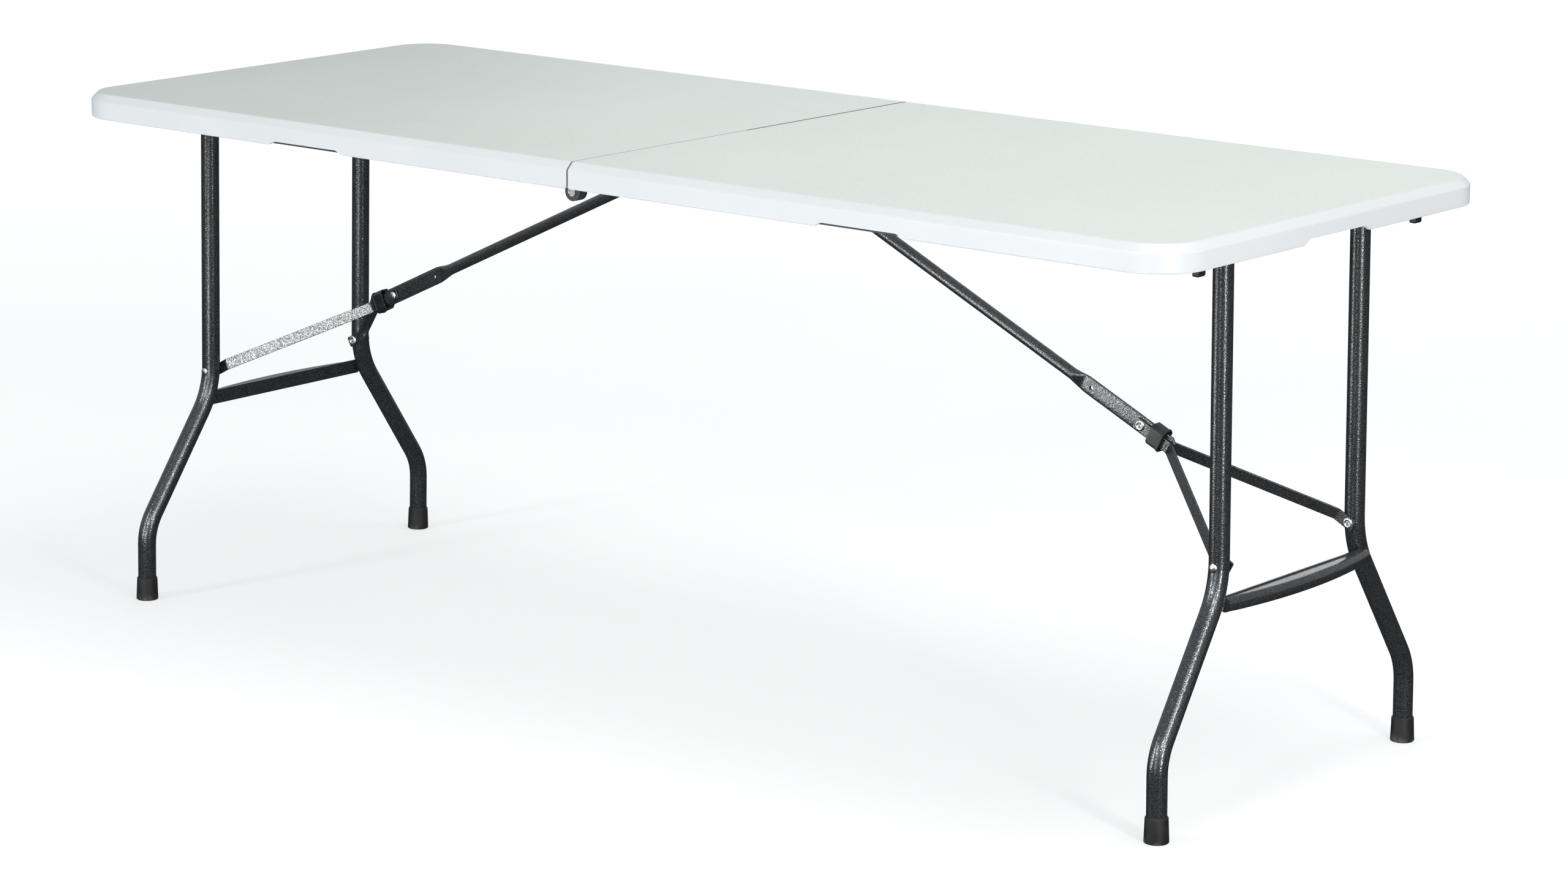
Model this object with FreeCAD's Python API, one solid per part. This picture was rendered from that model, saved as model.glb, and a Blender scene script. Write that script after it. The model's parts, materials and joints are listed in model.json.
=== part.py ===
import FreeCAD, Part
import math
import os

# Folding table: a moulded plastic top in two halves that fold about a cross seam, and two
# wishbone leg sets of steel tube.  Each leg set swings up under its own half of the top and
# is held open by a two-part brace whose knee is locked by a sliding plastic ring.
#
# Frame: X along the length, Y across the width, +Z up, millimetres.  The origin is on the
# floor under the middle of the table.  "Near" is the -Y side and "far" the +Y side, "left"
# is the -X half and "right" the +X half.  The right half is modelled and the left half is
# made from it, because both halves carry the same hardware.

Vector = FreeCAD.Vector
ORIGIN = Vector(0, 0, 0)
AXIS_X = Vector(1, 0, 0)
AXIS_Y = Vector(0, 1, 0)
AXIS_Z = Vector(0, 0, 1)

# ---------------------------------------------------------------- driving dimensions
LENGTH = 1800.0             # table top, open
WIDTH = 700.0
HEIGHT = 720.0              # floor to table top

# Moulded top
RIM_DEPTH = 34.0            # table top down to the lower edge of the rim
CORNER_RADIUS = 66.0
BEVEL = 9.5                 # bevel round the upper edge
PANEL = 9.0                 # thickness between the rims
RIM_WALL = 6.0
SEAM_HALF_GAP = 0.6         # each half stops this far from the seam line
SEAM_STEP = 1.5             # the seam line jogs by this much either way at mid width
TOP_EDGE_RADIUS = 4.0       # rounding along both sides of the bevel
RIM_EDGE_RADIUS = 2.5       # rounding along the lower edge of the rim
SEAM_EDGE_RADIUS = 0.7      # rounding along the upper edge of the seam
SEAM_CORNER_RADIUS = 6.0    # lower corners of the long rims at the seam
SIDE_NOTCH_X = (388.0, 524.0)
SIDE_NOTCH_RAMP = 12.0
SIDE_NOTCH_DEPTH = 5.5
END_NOTCH_Y = (-74.0, 74.0)
END_NOTCH_RAMP = 14.0
END_NOTCH_DEPTH = 7.0

# Underside: pads given by their X span and their Y span on the far side, and shallow pockets
PAD_DEPTH = 10.0
PAD_CORNER = 14.0
END_PAD = ((440.0, 812.0), (180.0, 316.0))
MIDDLE_PAD = ((150.0, 385.0), (26.0, 124.0))
SEAM_PAD = ((62.0, 124.0), (26.0, 312.0))
DIMPLE_PITCH = 46.0
DIMPLE_MARGIN = 22.0
DIMPLE_MOUTH_RADIUS = 10.0
DIMPLE_FLOOR_RADIUS = 6.0
DIMPLE_DEPTH = 8.0
POCKET_CORNER = 10.0
FOOT_POCKET_X = (130.0, 186.0)
FOOT_POCKET_HALF_WIDTH = 19.0
FOOT_POCKET_DEPTH = 3.0
BRACE_POCKET_X = (410.0, 770.0)
BRACE_POCKET_HALF_WIDTH = 18.0
BRACE_POCKET_DEPTH = 4.0
PILOT_RADIUS = 2.1          # screw holes in the top, the rails and the latches
PILOT_DEPTH = 6.5

# Rails under the long edges, and the fold hinges in their ends
RAIL_HEIGHT = 23.5
RAIL_WIDTH = 18.0
RAIL_SHEET = 1.5
RAIL_GAP_TO_RIM = 2.0
RAIL_START = 14.0           # distance of a rail's inner end from the seam
RAIL_END = 868.0
FOLD_Z = 682.0              # fold axis, just under the rim
KNUCKLE_RADIUS = 12.0
HINGE_PIN_RADIUS = 4.0
HINGE_PIN_HEAD_RADIUS = 6.0
HINGE_PIN_HEAD = 1.6
TONGUE_HALF_THICKNESS = 4.5
LEAF_END = 60.0             # hinge leaves reach this far along the rail
LEAF_TOP_Z = 706.0
LEAF_LOW_Z = 689.0
LEAF_WEB = 3.0

# Leg sets
LEG_RADIUS = 12.5
LEG_SHEET = 1.2
LEG_PIVOT_X = 838.0
LEG_PIVOT_Z = 697.7
PIVOT_BAR_RADIUS = 8.5
PIVOT_BAR_SHEET = 1.5
LEG_TOP_Y = 150.0           # half spacing of the upper legs
LEG_FOOT_Y = 275.0          # half spacing of the feet
UPPER_BEND_Z = 281.0
LOWER_BEND_Z = 102.0
UPPER_BEND_RADIUS = 110.0
LOWER_BEND_RADIUS = 75.0
FOOT_SPLAY = 14.0           # the feet stand this much further out than the pivots
CAP_LENGTH = 32.0
CAP_RADIUS = 15.2
CAP_TOP_RADIUS = 14.1
CAP_SOLE = 4.0
CROSSBAR_DROP = 434.0       # pivot to crossbar, along the leg
CROSSBAR_HEIGHT = 18.0
CROSSBAR_OFFSET = 10.0      # leg axis to the straight inner edge
CROSSBAR_END_DEPTH = 10.0
CROSSBAR_BOW = 16.0
CROSSBAR_ROUNDING = 8.0
CROSSBAR_LIP = (2.2, 1.6)   # width and height of the lip along the inner top edge

# Brace: upper tube from the brace bar to the knee, two arms from the knee to the legs
BRACE_PIVOT_X = 46.0
BRACE_PIVOT_Z = 696.0
ARM_PIVOT_DROP = 390.6      # leg pivot to the arm rivets, along the leg
KNEE_RISE = 0.2             # the two links are this much longer than the straight line
BRACE_RADIUS = 7.5
BRACE_SHEET = 1.2
FLAT_HEIGHT = 22.5          # flattened stretch of the tube at the knee
FLAT_THICKNESS = 4.4
FLAT_PAST_KNEE = 52.0
FLAT_BEFORE_KNEE = 90.0
FLAT_CORNER_CUT = 6.0
NECK_LENGTH = 28.0
NECK_HOLE_RADIUS = 3.0
TUBE_PAST_PIVOT = 8.5
ARM_WIDTH = 15.0
ARM_THICKNESS = 2.8
ARM_GAP = 2.7               # brace centre plane to the inner face of an arm
ARM_STRAIGHT = 48.0         # knee to the first bend of an arm
ARM_END_FLAT = 20.0         # last bend of an arm to its leg rivet
ARM_PAST_RIVET = 8.5        # rivet to the square end of an arm
ARM_END_CORNER = 2.2        # rounding of the square ends
RIVET_RADIUS = 3.0
RIVET_HEAD_RADIUS = 5.5
HOLLOW_HEAD_RADIUS = 6.9    # rolled end of a tubular rivet
HOLLOW_HEAD_HEIGHT = 1.8
HOLLOW_RADIUS = 2.2
SHEET_EDGE_RADIUS = 0.4     # rounding along the edges of the arms
BRACE_BAR_X = 24.0
BRACE_BAR_RADIUS = 8.0
BRACE_BAR_SHEET = 1.2
CLEVIS_GAP = 0.5            # brace tube to the inner face of an ear
CLEVIS_EAR = 2.5
CLEVIS_RADIUS = 7.8

# Lock ring
RING_OFFSET = 27.0          # knee to the middle of the ring
RING_LENGTH = 20.0
RING_HALF_HEIGHT = 12.4     # inside
RING_HALF_WIDTH = 7.9       # inside
RING_WALL = 2.0
RING_COLLAR = 3.5           # length of the wider collar
RING_COLLAR_STEP = 0.8
RING_EDGE_RADIUS = 0.35

# Latches that hold the folded halves together
LATCH_X = 857.0
LATCH_Y = 238.0
LATCH_WIDTH = 30.0
LATCH_HOOK_WIDTH = 14.0
LATCH_CATCH_Z = 676.0
LATCH_HOOK_Z = 667.0
LATCH_PLATE = 4.0
LATCH_BASE_HALF = 12.0
LATCH_BASE = 3.0
LATCH_SCREW_OFFSET = 8.0

# Screws
SCREW_RADIUS = 1.95
SCREW_HEAD_HEIGHT = 2.4
RAIL_SCREW_HEAD_RADIUS = 4.6
RAIL_SCREW_LENGTH = 7.0
LATCH_SCREW_HEAD_RADIUS = 3.6
LATCH_SCREW_LENGTH = 8.5

RUNNING_GAP = 0.08          # radial clearance of a pin in its hole
HOLE_GAP = 0.1
BODY_GAP = 0.3              # clearance between pieces that move past each other
THROUGH = 20.0              # reach of a cut that goes right through a thin piece

# ---------------------------------------------------------------- worked-out positions
RIM_Z = HEIGHT - RIM_DEPTH
PANEL_Z = HEIGHT - PANEL
RAIL_TOP_Z = PANEL_Z
RAIL_Z = RAIL_TOP_Z - RAIL_HEIGHT
RAIL_OUTER_Y = WIDTH / 2 - RIM_WALL - RAIL_GAP_TO_RIM
RAIL_INNER_Y = RAIL_OUTER_Y - RAIL_WIDTH
RAIL_MID_Y = (RAIL_OUTER_Y + RAIL_INNER_Y) / 2
SCREW_XS = [90.0 + 160.0 * i for i in range(5)]
BRACE_BAR_Z = PANEL_Z - BRACE_BAR_RADIUS - 0.2
LEAF_OUTER = RAIL_WIDTH / 2 - RAIL_SHEET - 0.2      # hinge leaves inside the channel

LEG_PIVOT = Vector(LEG_PIVOT_X, 0, LEG_PIVOT_Z)
LEAN = math.degrees(math.atan2(FOOT_SPLAY, LEG_PIVOT_Z))
LEG_FOLD = 90.0 + LEAN      # swing that lays a leg set flat under the top

BRACE_PIVOT = Vector(BRACE_PIVOT_X, 0, BRACE_PIVOT_Z)
DOWN_THE_LEG = Vector(math.sin(math.radians(LEAN)), 0, -math.cos(math.radians(LEAN)))
ARM_PIVOT = LEG_PIVOT + DOWN_THE_LEG * ARM_PIVOT_DROP
ARM_PIVOT_FOLDED = LEG_PIVOT - AXIS_X * ARM_PIVOT_DROP

# The brace lies straight and folded back on itself when the legs are flat, so its two
# lengths differ by the folded distance; open, they add up to just over the open distance.
OPEN_SPAN = (ARM_PIVOT - BRACE_PIVOT).Length
FOLDED_SPAN = (ARM_PIVOT_FOLDED - BRACE_PIVOT).Length
TUBE_LENGTH = (OPEN_SPAN + KNEE_RISE + FOLDED_SPAN) / 2
ARM_LENGTH = (OPEN_SPAN + KNEE_RISE - FOLDED_SPAN) / 2


def slope_below(start, end):
    """Angle in degrees by which the line from start to end points below the horizontal."""
    return math.degrees(math.atan2(start.z - end.z, end.x - start.x))


def knee_angle_at_pivot():
    """Angle at the brace pivot between the open tube and the straight line to the leg rivet."""
    cosine = (TUBE_LENGTH ** 2 + OPEN_SPAN ** 2 - ARM_LENGTH ** 2) / (2 * TUBE_LENGTH * OPEN_SPAN)
    return math.degrees(math.acos(cosine))


TUBE_SLOPE = slope_below(BRACE_PIVOT, ARM_PIVOT) - knee_angle_at_pivot()
KNEE = BRACE_PIVOT + Vector(math.cos(math.radians(TUBE_SLOPE)), 0,
                            -math.sin(math.radians(TUBE_SLOPE))) * TUBE_LENGTH
ARM_SLOPE = slope_below(KNEE, ARM_PIVOT)


# ---------------------------------------------------------------- helpers
def box(x_range, y_range, z_range):
    (x0, x1), (y0, y1), (z0, z1) = x_range, y_range, z_range
    return Part.makeBox(x1 - x0, y1 - y0, z1 - z0, Vector(x0, y0, z0))


def both_sides(y_low, y_high):
    """The same Y span on the near and on the far side of the table."""
    return [(-y_high, -y_low), (y_low, y_high)]


def rod(x, z, radius, y_low, y_high):
    """Solid cylinder along Y."""
    return Part.makeCylinder(radius, y_high - y_low, Vector(x, y_low, z), AXIS_Y)


def tube(x, z, radius, sheet, y_low, y_high):
    """Hollow cylinder along Y, open at both ends."""
    return rod(x, z, radius, y_low, y_high).cut(rod(x, z, radius - sheet, y_low, y_high))


def post(x, y, radius, z_low, z_high):
    """Solid cylinder along Z."""
    return Part.makeCylinder(radius, z_high - z_low, Vector(x, y, z_low), AXIS_Z)


def joined(shapes):
    """Shapes fused into one clean solid."""
    return shapes[0].multiFuse(shapes[1:]).removeSplitter()


def plate_xz(points, y_low, y_high):
    """Flat plate in the XZ plane with the given outline."""
    outline = Part.makePolygon([Vector(x, y_low, z) for x, z in points + points[:1]])
    return Part.Face(outline).extrude(AXIS_Y * (y_high - y_low))


def stadium_xz(start, end, radius, y_low, y_high):
    """Plate in the XZ plane round two centres, with a half circle about each."""
    along = (end - start).normalize()
    side = Vector(-along.z, 0, along.x) * radius
    corners = [start + side, end + side, end - side, start - side]
    straight = plate_xz([(p.x, p.z) for p in corners], y_low, y_high)
    return joined([straight] + [rod(p.x, p.z, radius, y_low, y_high) for p in (start, end)])


def eased(shape, radius, shortest):
    """The shape with its sharp edges rounded, leaving out edges shorter than shortest."""
    sharp = []
    for edge in shape.Edges:
        faces = shape.ancestorsOfType(edge, Part.Face)
        if len(faces) == 2 and edge.Length > shortest:
            middle = edge.valueAt((edge.FirstParameter + edge.LastParameter) / 2)
            normals = [face.normalAt(*face.Surface.parameter(middle)) for face in faces]
            if normals[0].getAngle(normals[1]) > math.radians(30):
                sharp.append(edge)
    return shape.makeFillet(radius, sharp)


def mirrored(shape):
    """The matching piece of the left half: reflected in the plane of the seam."""
    return shape.mirror(ORIGIN, AXIS_X)


def turned(shape):
    """The same piece on the left half: turned half a turn about the vertical."""
    copy = shape.copy()
    copy.rotate(ORIGIN, AXIS_Z, 180)
    return copy


def across(shape):
    """The matching piece on the far side: reflected in the table's centre plane."""
    return shape.mirror(ORIGIN, AXIS_Y)


def bent_path(points, radii):
    """Straight runs through the points, joined by tangent arcs at the inner ones."""
    edges = []
    start = points[0]
    for before, corner, after, radius in zip(points, points[1:], points[2:], radii):
        to_before = (before - corner).normalize()
        to_after = (after - corner).normalize()
        half_angle = to_before.getAngle(to_after) / 2
        reach = radius / math.tan(half_angle)
        centre = corner + (to_before + to_after).normalize() * (radius / math.sin(half_angle))
        first = corner + to_before * reach
        last = corner + to_after * reach
        middle = centre + (corner - centre).normalize() * radius
        edges.append(Part.makeLine(start, first))
        edges.append(Part.Arc(first, middle, last).toShape())
        start = last
    edges.append(Part.makeLine(start, points[-1]))
    return Part.Wire(edges)


def swept(path, radius):
    """Round bar of the given radius along a path that starts downwards."""
    ring = Part.Wire([Part.makeCircle(radius, path.OrderedVertexes[0].Point, AXIS_Z)])
    return path.makePipeShell([ring], True, True)


# ---------------------------------------------------------------- moulded top
def corner_arc(centre, radius, x_sign, y_sign):
    """Quarter circle round a corner of the top, from the long side to the end or back."""
    along_x, along_y = AXIS_X * (x_sign * radius), AXIS_Y * (y_sign * radius)
    middle = centre + (along_x + along_y) * math.sqrt(0.5)
    return Part.Arc(centre + along_y, middle, centre + along_x).toShape()


def half_outline(inset, z):
    """Plan of the right half, drawn in by inset, as a face at height z."""
    near_seam = SEAM_HALF_GAP - SEAM_STEP + inset
    far_seam = SEAM_HALF_GAP + SEAM_STEP + inset
    end = LENGTH / 2 - inset
    side = WIDTH / 2 - inset
    radius = CORNER_RADIUS - inset

    def at(x, y):
        return Vector(x, y, z)

    edges = [
        Part.makeLine(at(near_seam, -side), at(end - radius, -side)),
        corner_arc(at(end - radius, radius - side), radius, 1, -1),
        Part.makeLine(at(end, radius - side), at(end, side - radius)),
        corner_arc(at(end - radius, side - radius), radius, 1, 1),
        Part.makeLine(at(end - radius, side), at(far_seam, side)),
        Part.makeLine(at(far_seam, side), at(far_seam, -SEAM_HALF_GAP)),
        Part.makeLine(at(far_seam, -SEAM_HALF_GAP), at(near_seam, -SEAM_HALF_GAP)),
        Part.makeLine(at(near_seam, -SEAM_HALF_GAP), at(near_seam, -side)),
    ]
    return Part.Face(Part.Wire(edges))


def rounded_block(x_range, y_range, z_range, radius):
    """Block with rounded upright edges."""
    block = box(x_range, y_range, z_range)
    upright = [e for e in block.Edges if abs(e.tangentAt(e.FirstParameter).z) > 0.9]
    return block.makeFillet(radius, upright)


def underside_pads():
    """Thicker islands of the moulding, between the places where the folded hardware lies."""
    return [rounded_block(x_range, y_range, (PANEL_Z - PAD_DEPTH, PANEL_Z), PAD_CORNER)
            for x_range, y_span in (END_PAD, MIDDLE_PAD, SEAM_PAD)
            for y_range in both_sides(*y_span)]


def grid_along(low, high):
    """Evenly pitched places centred between two edges of a pad."""
    gaps = int((high - low - 2 * DIMPLE_MARGIN) // DIMPLE_PITCH)
    first = (low + high - gaps * DIMPLE_PITCH) / 2
    return [first + i * DIMPLE_PITCH for i in range(gaps + 1)]


def pad_dimples():
    """Tapered pits that tie the two skins of the moulding together."""
    places = [Vector(x, sign * y, PANEL_Z - PAD_DEPTH)
              for x_range, y_span in (END_PAD, MIDDLE_PAD, SEAM_PAD)
              for x in grid_along(*x_range)
              for y in grid_along(*y_span)
              for sign in (-1, 1)]
    return [Part.makeCone(DIMPLE_MOUTH_RADIUS, DIMPLE_FLOOR_RADIUS, DIMPLE_DEPTH, place, AXIS_Z)
            for place in places]


def notch_profile(low, high, ramp, depth):
    """Outline of a shallow bevelled notch in the lower edge of a rim, as (along, z) pairs."""
    return [(low, RIM_Z - 1), (low, RIM_Z), (low + ramp, RIM_Z + depth),
            (high - ramp, RIM_Z + depth), (high, RIM_Z), (high, RIM_Z - 1)]


def side_notch(sign):
    """Notch in a long rim."""
    wall_y = sign * (WIDTH - RIM_WALL) / 2
    reach = RIM_WALL / 2 + 1
    profile = notch_profile(*SIDE_NOTCH_X, SIDE_NOTCH_RAMP, SIDE_NOTCH_DEPTH)
    return plate_xz(profile, wall_y - reach, wall_y + reach)


def end_notch():
    """Hand notch in the middle of the end rim."""
    profile = notch_profile(*END_NOTCH_Y, END_NOTCH_RAMP, END_NOTCH_DEPTH)
    start = LENGTH / 2 - RIM_WALL - 1
    outline = Part.makePolygon([Vector(start, y, z) for y, z in profile + profile[:1]])
    return Part.Face(outline).extrude(AXIS_X * (RIM_WALL + 2))


def screw_places():
    """Plan positions of the screws that hold the rails to the top."""
    return [(x, sign * RAIL_MID_Y) for x in SCREW_XS for sign in (-1, 1)]


def latch_screw_xs():
    return [LATCH_X - LATCH_SCREW_OFFSET, LATCH_X + LATCH_SCREW_OFFSET]


def latch_screw_places():
    return [(x, sign * LATCH_Y) for x in latch_screw_xs() for sign in (-1, 1)]


def outer_edges(shape, z):
    """Edges of the right half at height z, apart from those along the seam."""
    seam_limit = 2 * SEAM_STEP + SEAM_HALF_GAP
    return [e for e in shape.Edges
            if abs(e.BoundBox.ZMin - z) < 0.01 and abs(e.BoundBox.ZMax - z) < 0.01
            and e.BoundBox.XMax > seam_limit]


def seam_edges(shape):
    """Straight upper edges of the right half along the seam."""
    return [e for e in shape.Edges
            if abs(e.BoundBox.ZMin - HEIGHT) < 0.01
            and e.BoundBox.YLength > 2 * BEVEL and e.BoundBox.XLength < 0.01
            and e.BoundBox.XMax < 2 * SEAM_STEP + SEAM_HALF_GAP]


def seam_corner(sign):
    """What rounds off the lower corner of a long rim where it meets the seam."""
    face_x = SEAM_HALF_GAP + sign * SEAM_STEP
    centre_x, centre_z = face_x + SEAM_CORNER_RADIUS, RIM_Z + SEAM_CORNER_RADIUS
    y_middle = sign * (WIDTH - RIM_WALL) / 2
    y_low, y_high = y_middle - RIM_WALL / 2 - 1, y_middle + RIM_WALL / 2 + 1
    corner = box((face_x - 1, centre_x), (y_low, y_high), (RIM_Z - 1, centre_z))
    return corner.cut(rod(centre_x, centre_z, SEAM_CORNER_RADIUS, y_low, y_high))


def top_half():
    slab = half_outline(0, RIM_Z).extrude(AXIS_Z * RIM_DEPTH)
    slab = slab.makeChamfer(BEVEL, outer_edges(slab, HEIGHT))
    slab = slab.makeFillet(TOP_EDGE_RADIUS, outer_edges(slab, HEIGHT - BEVEL) + outer_edges(slab, HEIGHT))
    slab = slab.makeFillet(RIM_EDGE_RADIUS, outer_edges(slab, RIM_Z))
    slab = slab.makeFillet(SEAM_EDGE_RADIUS, seam_edges(slab))
    hollow = half_outline(RIM_WALL, RIM_Z - 1).extrude(AXIS_Z * (PANEL_Z - RIM_Z + 1))
    hollow = hollow.cut(underside_pads())
    cuts = [hollow, side_notch(-1), side_notch(1), end_notch(), seam_corner(-1), seam_corner(1)]
    cuts += pad_dimples()
    for y_range in both_sides(RAIL_INNER_Y - 2, WIDTH / 2 - RIM_WALL):
        cuts.append(box((-SEAM_STEP * 2, RAIL_START), y_range, (RIM_Z - 1, PANEL_Z)))
    for y_range in both_sides(LEG_FOOT_Y - FOOT_POCKET_HALF_WIDTH, LEG_FOOT_Y + FOOT_POCKET_HALF_WIDTH):
        pocket_z = (PANEL_Z - 1, PANEL_Z + FOOT_POCKET_DEPTH)
        cuts.append(rounded_block(FOOT_POCKET_X, y_range, pocket_z, POCKET_CORNER))
    cuts.append(rounded_block(BRACE_POCKET_X, (-BRACE_POCKET_HALF_WIDTH, BRACE_POCKET_HALF_WIDTH),
                              (PANEL_Z - 1, PANEL_Z + BRACE_POCKET_DEPTH), POCKET_CORNER))
    for x, y in screw_places() + latch_screw_places():
        cuts.append(post(x, y, PILOT_RADIUS, PANEL_Z - 1, PANEL_Z + PILOT_DEPTH))
    return slab.cut(cuts).removeSplitter()


# ---------------------------------------------------------------- rails and fold hinges
def rail_near():
    """Steel channel, open below, under the near long edge; its end follows the rim's corner."""
    channel = box((RAIL_START, RAIL_END), (-RAIL_OUTER_Y, -RAIL_INNER_Y), (RAIL_Z, RAIL_TOP_Z))
    channel = channel.cut(box((RAIL_START - 1, RAIL_END + 1),
                              (RAIL_SHEET - RAIL_OUTER_Y, -RAIL_INNER_Y - RAIL_SHEET),
                              (RAIL_Z - 1, RAIL_TOP_Z - RAIL_SHEET)))
    holes = [rod(LEG_PIVOT_X, LEG_PIVOT_Z, PIVOT_BAR_RADIUS + RUNNING_GAP,
                 -RAIL_OUTER_Y - 1, 1 - RAIL_INNER_Y)]
    holes += [post(x, -RAIL_MID_Y, PILOT_RADIUS, RAIL_TOP_Z - RAIL_SHEET - 1, RAIL_TOP_Z + 1)
              for x in SCREW_XS]
    inside_rim = half_outline(RIM_WALL + BODY_GAP, RAIL_Z - 1).extrude(AXIS_Z * (RAIL_HEIGHT + 2))
    return channel.common(inside_rim).cut(holes)


def pan_head_screw(x, y, seat_z, head_radius, length):
    """Pan-head screw driven upwards, with a cross recess in its head."""
    head_z = seat_z - SCREW_HEAD_HEIGHT
    head = post(x, y, head_radius, head_z, seat_z)
    head = head.makeFillet(SCREW_HEAD_HEIGHT / 2, [e for e in head.Edges if e.BoundBox.ZMax < seat_z - 1])
    screw = joined([head, post(x, y, SCREW_RADIUS, seat_z, seat_z + length)])
    long_half, short_half = head_radius * 0.55, 0.6
    for x_half, y_half in ((long_half, short_half), (short_half, long_half)):
        screw = screw.cut(box((x - x_half, x + x_half), (y - y_half, y + y_half), (head_z - 1, head_z + 1)))
    return screw


def rail_screws():
    seat_z = RAIL_TOP_Z - RAIL_SHEET
    return Part.Compound([pan_head_screw(x, y, seat_z, RAIL_SCREW_HEAD_RADIUS, RAIL_SCREW_LENGTH)
                          for x, y in screw_places()])


def knuckle_plate(y_low, y_high, pin_gap):
    """Hinge leaf of the right rail: a strip in the channel that ends in a round knuckle."""
    strip = [(LEAF_END, LEAF_TOP_Z), (KNUCKLE_RADIUS, LEAF_TOP_Z), (-4, FOLD_Z + 8), (6, FOLD_Z - 1),
             (18, LEAF_LOW_Z), (LEAF_END, LEAF_LOW_Z)]
    leaf = joined([plate_xz(strip, y_low, y_high), rod(0, FOLD_Z, KNUCKLE_RADIUS, y_low, y_high)])
    return leaf.cut(rod(0, FOLD_Z, HINGE_PIN_RADIUS + pin_gap, y_low - 1, y_high + 1))


def hinge_tongue_near():
    """Thick single leaf on the right rail."""
    return knuckle_plate(-RAIL_MID_Y - TONGUE_HALF_THICKNESS, TONGUE_HALF_THICKNESS - RAIL_MID_Y, RUNNING_GAP)


def hinge_fork_near():
    """Pair of thin leaves on the left rail, joined by a web, that hold the tongue between them."""
    inner = TONGUE_HALF_THICKNESS + BODY_GAP
    leaves = [knuckle_plate(-RAIL_MID_Y - LEAF_OUTER, -RAIL_MID_Y - inner, 0.0),
              knuckle_plate(inner - RAIL_MID_Y, LEAF_OUTER - RAIL_MID_Y, 0.0)]
    web = box((LEAF_END - 26, LEAF_END), (-RAIL_MID_Y - inner, inner - RAIL_MID_Y),
              (LEAF_TOP_Z - LEAF_WEB, LEAF_TOP_Z))
    return mirrored(joined(leaves + [web]))


def hinge_pins():
    """Riveted pins on the fold axis, one in each hinge."""
    pins = []
    for y in (-RAIL_MID_Y, RAIL_MID_Y):
        low, high = y - LEAF_OUTER, y + LEAF_OUTER
        pins.append(joined([rod(0, FOLD_Z, HINGE_PIN_RADIUS, low, high),
                            rod(0, FOLD_Z, HINGE_PIN_HEAD_RADIUS, low - HINGE_PIN_HEAD, low),
                            rod(0, FOLD_Z, HINGE_PIN_HEAD_RADIUS, high, high + HINGE_PIN_HEAD)]))
    return Part.Compound(pins)


# ---------------------------------------------------------------- latches
def latch_near():
    """Moulded hook and catch: the folded halves face each other, hook against catch."""
    y_low, y_high = -LATCH_Y - LATCH_WIDTH / 2, LATCH_WIDTH / 2 - LATCH_Y
    plate = box((LATCH_X - LATCH_PLATE / 2, LATCH_X + LATCH_PLATE / 2), (y_low, y_high),
                (LATCH_CATCH_Z, PANEL_Z))
    base = box((LATCH_X - LATCH_BASE_HALF, LATCH_X + LATCH_BASE_HALF), (y_low, y_high),
               (PANEL_Z - LATCH_BASE, PANEL_Z))
    hook = box((LATCH_X - LATCH_PLATE, LATCH_X + LATCH_PLATE + 1), (y_high - LATCH_HOOK_WIDTH, y_high),
               (LATCH_HOOK_Z, RIM_Z + LATCH_PLATE))
    lower = [e for e in hook.Edges if e.BoundBox.ZMax < LATCH_HOOK_Z + 1]
    shape = joined([plate, base, hook.makeFillet(2.5, lower)])
    return shape.cut([post(x, -LATCH_Y, PILOT_RADIUS, PANEL_Z - LATCH_BASE - 1, PANEL_Z + 1)
                      for x in latch_screw_xs()])


def latch_far():
    copy = latch_near()
    copy.translate(AXIS_Y * 2 * LATCH_Y)
    return copy


def latch_screws():
    seat_z = PANEL_Z - LATCH_BASE
    return Part.Compound([pan_head_screw(x, y, seat_z, LATCH_SCREW_HEAD_RADIUS, LATCH_SCREW_LENGTH)
                          for x, y in latch_screw_places()])


# ---------------------------------------------------------------- brace mount under the top
def brace_bar():
    """Tube from rail to rail that carries the upper end of the brace."""
    return tube(BRACE_BAR_X, BRACE_BAR_Z, BRACE_BAR_RADIUS, BRACE_BAR_SHEET, -RAIL_INNER_Y, RAIL_INNER_Y)


def brace_clevis():
    """Two ears welded to the brace bar, one each side of the brace tube."""
    inner = BRACE_RADIUS + CLEVIS_GAP
    bar = rod(BRACE_BAR_X, BRACE_BAR_Z, BRACE_BAR_RADIUS, -THROUGH, THROUGH)
    hole = rod(BRACE_PIVOT_X, BRACE_PIVOT_Z, RIVET_RADIUS, -THROUGH, THROUGH)
    ears = [stadium_xz(Vector(BRACE_BAR_X, 0, BRACE_BAR_Z), BRACE_PIVOT, CLEVIS_RADIUS, y_low, y_high)
            for y_low, y_high in both_sides(inner, inner + CLEVIS_EAR)]
    return Part.Compound([ear.cut([bar, hole]) for ear in ears])


def double_headed_rivet(centre, half_grip):
    """Rivet along Y with a domed head at each end."""
    shank = rod(centre.x, centre.z, RIVET_RADIUS, -half_grip, half_grip)
    heads = [rivet_head(centre, half_grip, 1), rivet_head(centre, half_grip, -1)]
    return joined([shank] + heads)


def rivet_head(centre, seat_y, sign):
    """Shallow dome standing on the plane y = seat_y, on the side that sign gives."""
    rim, rise = 0.5, 1.3
    ball = (RIVET_HEAD_RADIUS ** 2 + rise ** 2) / (2 * rise)
    middle = seat_y + rim + rise - ball
    dome = Part.makeSphere(ball, Vector(centre.x, middle, centre.z))
    dome = dome.common(rod(centre.x, centre.z, RIVET_HEAD_RADIUS, seat_y, seat_y + rim + rise + 1))
    return dome if sign > 0 else across(dome)


def brace_pivot_rivet():
    return double_headed_rivet(BRACE_PIVOT, BRACE_RADIUS + CLEVIS_GAP + CLEVIS_EAR)


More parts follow.
